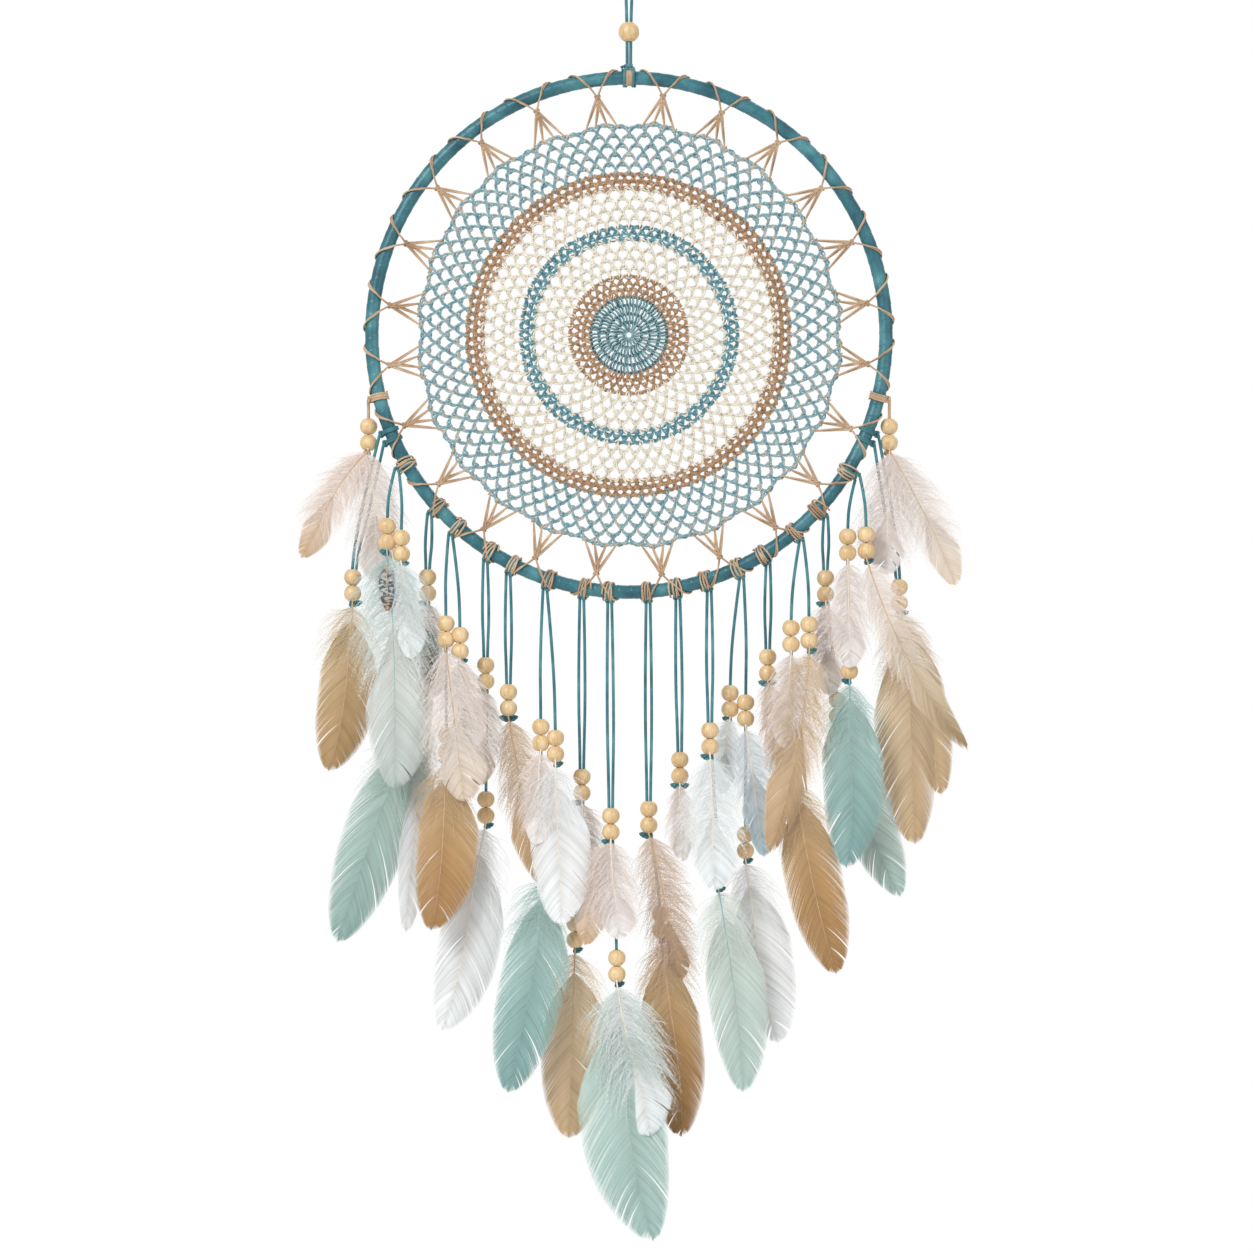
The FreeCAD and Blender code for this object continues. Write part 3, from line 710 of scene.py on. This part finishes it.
def cord_routes(exit_point, upper, lower, rim):
    """Each cord's own points from the strand's exit, as the CAD has them, with its bow."""
    spread = 1.2 * CORD_OFFSET
    side = np.array([CORD_OFFSET, 0, 0])
    if rim:
        inward = math.copysign(RIM_LONG_EXIT, -exit_point[0])
        cords = [(0.0, [upper[0]], 0.0)]
        for sign in (-1, 1):
            cords.append((inward + sign * spread, [lower + sign * side], sign * spread))
    elif len(upper) == 2:
        cords = [(-spread, [upper[0]], -spread), (spread, [upper[1]], spread)]
        if lower is not None:
            gaps = [abs(lower[0] - top[0]) for top in upper]
            cords[gaps.index(min(gaps))][1].append(lower)
    else:
        cords = [(-spread, [upper[0] - side], -spread), (spread, [upper[0] + side], spread)]
        if lower is not None:
            cords[1][1].append(lower)
    routes = []
    for start_across, stops, bow in cords:
        x = exit_point[0] + start_across
        z = HOOP_Z - math.sqrt(EXIT_RADIUS ** 2 - x ** 2)
        start = np.array([x, 0, z])
        stops = [stop + exit_point for stop in stops]
        first = stops[0] + (0, 0, 1.4 * BEAD_RADIUS)
        points = [start]
        if np.linalg.norm(first - start) > 4 * BEAD_RADIUS:
            points.append((start + first) / 2 + (bow, 0, 0))
        for stop in stops:
            points += [stop + (0, 0, 1.4 * BEAD_RADIUS), stop - (0, 0, BEAD_PITCH + 1.2 * BEAD_RADIUS)]
        routes.append(points)
    return routes


def strand(number, exit_point):
    """The cords and end knots of one strand, with its wooden beads."""
    tag = f"{number:02d}"
    body = "pendant_" + tag
    beads = frame["nodes"]["beads_" + tag]
    beads.data.materials.clear()
    beads.data.materials.append(WOOD)
    upper, lower = tassels_of("beads_" + tag, exit_point)
    rim = number in RIM_STRANDS
    knots = Soup()
    routes = cord_routes(exit_point, upper, lower, rim)
    for index, points in enumerate(routes):
        tan = rim and index == 0
        cord = nurbs_cord(f"cord_{tag}_{index + 1}", points, TAN_CORD if tan else TEAL_CORD)
        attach(cord, body)
        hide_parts("strand_" + tag)
        round(cord_length(cord), 4)
        side = 1 if index else -1
        centre = points[-1] + (side * 0.8, 0, 0.2)
        closed_knot(knots, centre, 1.8, 1.7, 1.0, 0.8, lean=0.7 * side, slot=int(tan))
        if not tan:
            tail = [centre, centre + (side * 1.8, 0.3, 0.9), centre + (side * 3.4, 0.1, 0.2)]
            tube(knots, smooth(tail, 4), np.linspace(0.8, 1.1, 9), 8)
    show(knots, "knots_" + tag, [TEAL_CORD, TAN_CORD], body, "teal_cord")
    return [points[0] for points in routes]


# ---------------------------------------------------------------- feathers
def feather_frame(part):
    """Root, direction, length, width and bow of a feather's CAD leaf, in millimetres."""
    top = part[np.argmax(part[:, 2])]
    root = part[np.linalg.norm(part - top, axis=1) < 2.2].mean(0)
    tip = part[np.argmax(np.linalg.norm(part - root, axis=1))].copy()
    tip[1] = root[1]
    length = np.linalg.norm(tip - root)
    along = (tip - root) / length
    out = np.array([-along[2], 0, along[0]])
    run = (part - root) @ along
    across = (part - root) @ out
    middle = (run > 0.3 * length) & (run < 0.75 * length)
    width = across[middle].max() - across[middle].min()
    return root, along, out, length, width, (across[middle].max() + across[middle].min()) / 2


def strips(soup, base, control, end, half, lift, attr_t, attr_r, columns=8):
    """Barbs as narrow ribbons along quadratic curves.

    half is each ribbon's half width along the rachis, and lift raises one edge to the front."""
    count = len(base)
    u = np.linspace(0, 1, columns)[None, :, None]
    line = (1 - u) ** 2 * base[:, None] + 2 * u * (1 - u) * control[:, None] + u ** 2 * end[:, None]
    taper = np.interp(np.linspace(0, 1, columns), [0, 0.85, 1], [1.0, 1.0, 0.3])[None, :, None]
    low = line - half[:, None] * taper
    high = line + half[:, None] * taper + array((0, -1, 0)) * lift * taper
    verts = np.stack([low, high], 2).reshape(-1, 3)
    rows = np.arange(count * columns).reshape(count, columns)
    a, b = rows[:, :-1].ravel() * 2, rows[:, 1:].ravel() * 2
    faces = np.stack([a, a + 1, b + 1, b], -1)
    attr = np.zeros((count, columns, 2, 3))
    attr[..., 0] = attr_t[:, None, None]
    attr[..., 1] = np.linspace(0, 1, columns)[None, :, None]
    attr[..., 2] = attr_r[:, None, None]
    soup.add(verts, faces, attr=attr.reshape(-1, 3))
    return line


def vane_width(t, sharp):
    """The vane's half width as a share of its greatest, along the feather."""
    rise = np.sin(np.clip(t / 0.45, 0, 1) * math.pi / 2) ** 0.6
    fall = (1 - np.clip((t - 0.45) / 0.55, 0, 1) ** sharp) ** 0.7
    return np.where(t < 0.45, rise, fall)


def feather(name, body, node, part, kind, seed, root_frame=None):
    """One feather: its quill, the vane's barbs in clumps, and down with its barbules."""
    rng = np.random.RandomState(seed)
    root, along, out, length, width, bow = root_frame or feather_frame(part)
    _, down, sharp = KINDS[kind]
    soup = Soup()
    back = np.array([0.0, 1.0, 0.0])
    cup = rng.uniform(0.10, 0.2)
    curl = rng.uniform(-1.2, 1.8)
    bend = rng.uniform(-0.02, 0.02) * length
    tip_out = math.copysign(rng.uniform(1.0, 5.0) * length / 110, root[1])

    def spine(t):
        t = np.asarray(t, float)[..., None]
        return (root + along * (length * t) + out * (bow * 4 * t * (1 - t) + bend * np.sin(TAU * t) * 0.5)
                + back * (curl * np.sin(math.pi * t) + tip_out * t ** 2))

    t = np.linspace(-0.02, 0.97, 26)
    tube(soup, spine(t), np.interp(t, [0, 0.1, 0.5, 1], [0.5, 0.36, 0.24, 0.1]), 6, slot=1)

    start = max(0.06, down * 0.72)
    spacing = 0.42 / length
    reach = 0.24 if width > 24 else 0.2
    lopsided = rng.choice([-1, 1]) * rng.uniform(0.04, 0.16)
    for side in (-1, 1):
        t0 = np.arange(start, 0.992, spacing)
        count = len(t0)
        clump = np.cumsum(rng.uniform(size=count) < 0.035)
        clump -= clump[0]
        centre = np.array([np.mean(np.nonzero(clump == c)[0]) for c in range(clump[-1] + 1)])[clump]
        shift = rng.normal(0, 0.005, clump[-1] + 1)[clump]
        longer = rng.uniform(0.985, 1.02, clump[-1] + 1)[clump] * rng.uniform(0.985, 1.01, count)
        converge = 0.01 + 0.16 * rng.uniform(0, 1, clump[-1] + 1)[clump] ** 6
        sweep = reach * (1 - t0 ** 3) * (1 + shift * 4) * np.interp(t0, [0, 0.4], [0.45, 1])
        t1 = np.minimum(t0 + sweep, 0.998)
        t1 = t1 - (np.arange(count) - centre) * spacing * converge
        half_width = 0.57 * width * vane_width(t1, sharp) * longer * (1 + side * lopsided)
        ease = np.clip((t0 - start) / max(0.12, down * 0.3), 0, 1) ** 0.7
        half_width *= 0.35 + 0.65 * ease if down > 0.3 else 0.75 + 0.25 * ease
        half_width *= np.interp(t0, [0.935, 0.985], [1, 0])
        base = spine(t0)
        end = spine(t1) + out * (side * half_width)[:, None] + back * (cup * half_width)[:, None]
        run = (spine(t1) - base)
        control = (base + run * 0.42 + out * (side * half_width * 0.62)[:, None]
                   + back * (cup * 0.15 * half_width)[:, None])
        half = np.broadcast_to(along * spacing * length * 0.68, base.shape)
        marks = np.arange(0, count + 3, 3)
        streak = np.interp(np.arange(count), marks, rng.uniform(0, 1, len(marks)))
        strips(soup, base, control, end, half, 0.16, t0, 0.65 * streak + 0.35 * rng.uniform(0, 1, count))

    # down: long loose barbs, each with its barbules
    top = 0.03
    bottom = down + (0.04 if down > 0.3 else 0.12)
    fluff_spacing = (0.2 if down > 0.3 else 0.22) / length
    for side in (-1, 1):
        t0 = np.arange(top, bottom, fluff_spacing)
        t0 = t0 + rng.uniform(-0.5, 0.5, len(t0)) * fluff_spacing
        count = len(t0)
        fade = np.interp(t0 / bottom, [0, 0.15, 0.6, 1], [0.5, 0.95, 1.1, 0.8])
        size = (0.7 if down > 0.3 else 0.58) * width * fade * rng.uniform(0.5, 1.15, count)
        slope = np.radians(rng.normal(56, 18, count))
        base = spine(t0)
        reach_out = out * (side * size * np.sin(slope))[:, None]
        reach_down = along * (size * np.cos(slope) * 1.2 + size * 0.55)[:, None]
        wander = back * rng.normal(0, 0.24, count)[:, None] * size[:, None]
        control = base + reach_out * 0.75 + reach_down * 0.15 + wander * 0.3
        end = base + reach_out + reach_down + wander
        end[:, 1] = np.clip(end[:, 1], -DOWN_DEPTH, DOWN_DEPTH)
        shade = rng.uniform(0.2, 1, count)
        half = np.broadcast_to(along * 0.1, base.shape)
        line = strips(soup, base, control, end, half, 0.0, t0 * 0.6, shade, columns=7)
        barbules(soup, line, t0 * 0.6, shade, rng)

    slot = KIND_SLOT.get(kind, "feather_tan")
    show(soup, name, [FEATHER_MATERIALS[kind], QUILLS[slot]], body, slot, *node)


def barbules(soup, line, attr_t, attr_r, rng):
    """Tiny hairs on both sides of each down barb."""
    count, columns, _ = line.shape
    steps = 13
    u = (np.arange(steps) + 0.6) / steps * (columns - 1)
    low = np.minimum(u.astype(int), columns - 2)
    part = (u - low)[None, :, None]
    spot = line[:, low] * (1 - part) + line[:, low + 1] * part
    tangent = unit(line[:, low + 1] - line[:, low])
    sideways = unit(np.cross(tangent, np.array([0.0, 1.0, 0.0])))
    for sign in (-1, 1):
        length = rng.uniform(0.8, 1.9, (count, steps, 1)) * (1 - 0.45 * (u / columns)[None, :, None])
        tilt = rng.normal(0, 0.35, (count, steps, 1)) * np.array([0.0, 1.0, 0.0])
        lean = tangent * rng.uniform(0.5, 1.1, (count, steps, 1))
        tip = spot + length * unit(sideways * sign + lean + tilt)
        verts = np.stack([spot - tangent * 0.07, spot + tangent * 0.07, tip], 2).reshape(-1, 3)
        faces = np.arange(count * steps * 3).reshape(-1, 3)
        attr = np.zeros((count, steps, 3, 3))
        attr[..., 0] = attr_t[:, None, None]
        attr[..., 1] = 0.8
        attr[..., 2] = attr_r[:, None, None]
        soup.add(verts, faces, attr=attr.reshape(-1, 3))


def feathers(number):
    tag = f"{number:02d}"
    node = "feathers_" + tag
    parts = loose_parts(node)
    tops = [part[:, 2].max() for part in parts]
    order = sorted(range(len(parts)),
                   key=lambda i: (tops[i] < max(tops) - LOWER_DROP, -parts[i][:, 1].mean()))
    for index, (i, kind) in enumerate(zip(order, FEATHERS[number])):
        feather(f"feather_{tag}_{index + 1}", "pendant_" + tag, [node], parts[i], kind,
                100 * number + index)


def speckled_feathers():
    """Two small speckled feathers that lie on the larger ones, below the beads of 02 and 03."""
    for number, tassel, slip, length, width, lean in ((2, 0, 9.0, 26, 8, 2), (3, 0, 16.0, 34, 10, 3)):
        tag = f"{number:02d}"
        upper, _ = tassels_of("beads_" + tag, EXITS[number])
        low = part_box("feathers_" + tag)[0].y / MM
        root = upper[tassel] + EXITS[number] - (0, 0, BEAD_PITCH + 4.6 + slip)
        root[1] = low - 0.9
        turn = math.radians(lean)
        along = np.array([math.sin(turn), 0, -math.cos(turn)])
        out = np.array([math.cos(turn), 0, math.sin(turn)])
        feather(f"feather_{tag}_speckled", "pendant_" + tag, [], None, "speckled", 50 + number,
                (root, along, out, length, width, 0.0))


# ---------------------------------------------------------------- stage
def studio():
    camera = bpy.data.cameras.new("camera")
    camera.lens = 150.6
    camera.clip_end = 20
    eye = bpy.data.objects.new("camera", camera)
    eye.location = (-0.0011, -3.0, -0.399)
    eye.rotation_euler = (math.pi / 2, 0, 0)
    scene.collection.objects.link(eye)
    scene.camera = eye

    world = bpy.data.worlds.new("studio")
    world.use_nodes = True
    nodes, links = world.node_tree.nodes, world.node_tree.links
    seen = nodes["Background"]
    seen.inputs["Color"].default_value = (1, 1, 1, 1)
    lit = nodes.new("ShaderNodeBackground")
    lit.inputs["Color"].default_value = (1, 1, 1, 1)
    lit.inputs["Strength"].default_value = 0.62
    path = nodes.new("ShaderNodeLightPath")
    mix = nodes.new("ShaderNodeMixShader")
    links.new(path.outputs["Is Camera Ray"], mix.inputs[0])
    links.new(lit.outputs[0], mix.inputs[1])
    links.new(seen.outputs[0], mix.inputs[2])
    links.new(mix.outputs[0], nodes["World Output"].inputs["Surface"])
    scene.world = world
    scene.view_settings.view_transform = "Standard"
    scene.view_settings.look = "None"

    lights = (("key", (-1.3, -1.8, 0.9), 42, 0.9),
              ("fill", (1.6, -1.4, -0.2), 10, 1.6),
              ("rear", (0.6, 2.0, 0.8), 16, 1.6))
    for name, place, energy, across in lights:
        light = bpy.data.lights.new(name, "AREA")
        light.energy = energy
        light.size = across
        lamp = bpy.data.objects.new(name, light)
        lamp.location = place
        lamp.rotation_euler = (Vector((0, 0, -0.4)) - Vector(place)).to_track_quat("-Z", "Y").to_euler()
        scene.collection.objects.link(lamp)

    floor = Soup()
    ring = np.arange(64) * TAU / 64
    floor.add(np.stack([800 * np.cos(ring), 800 * np.sin(ring), np.full(64, FLOOR_Z)], -1), [np.arange(64)])
    shade = Shade("floor_pale", Roughness=0.9, Base_Color=(0.9, 0.9, 0.9, 1))
    obj = floor.object("floor", [shade.material])


studio()
wound_hoop()
crochet_web()
lacing()
hanging_cord()
EXITS = {}
for joint in frame["joints"]:
    if joint["name"].startswith("swing_"):
        number = int(joint["name"][-2:])
        x = joint["pos_m"][0] / MM
        EXITS[number] = np.array([x, 0, HOOP_Z - math.sqrt(EXIT_RADIUS ** 2 - x ** 2)])
STARTS = {}
for number, place in EXITS.items():
    STARTS[number] = strand(number, place)
    feathers(number)
hoop_ties(EXITS, STARTS)
speckled_feathers()
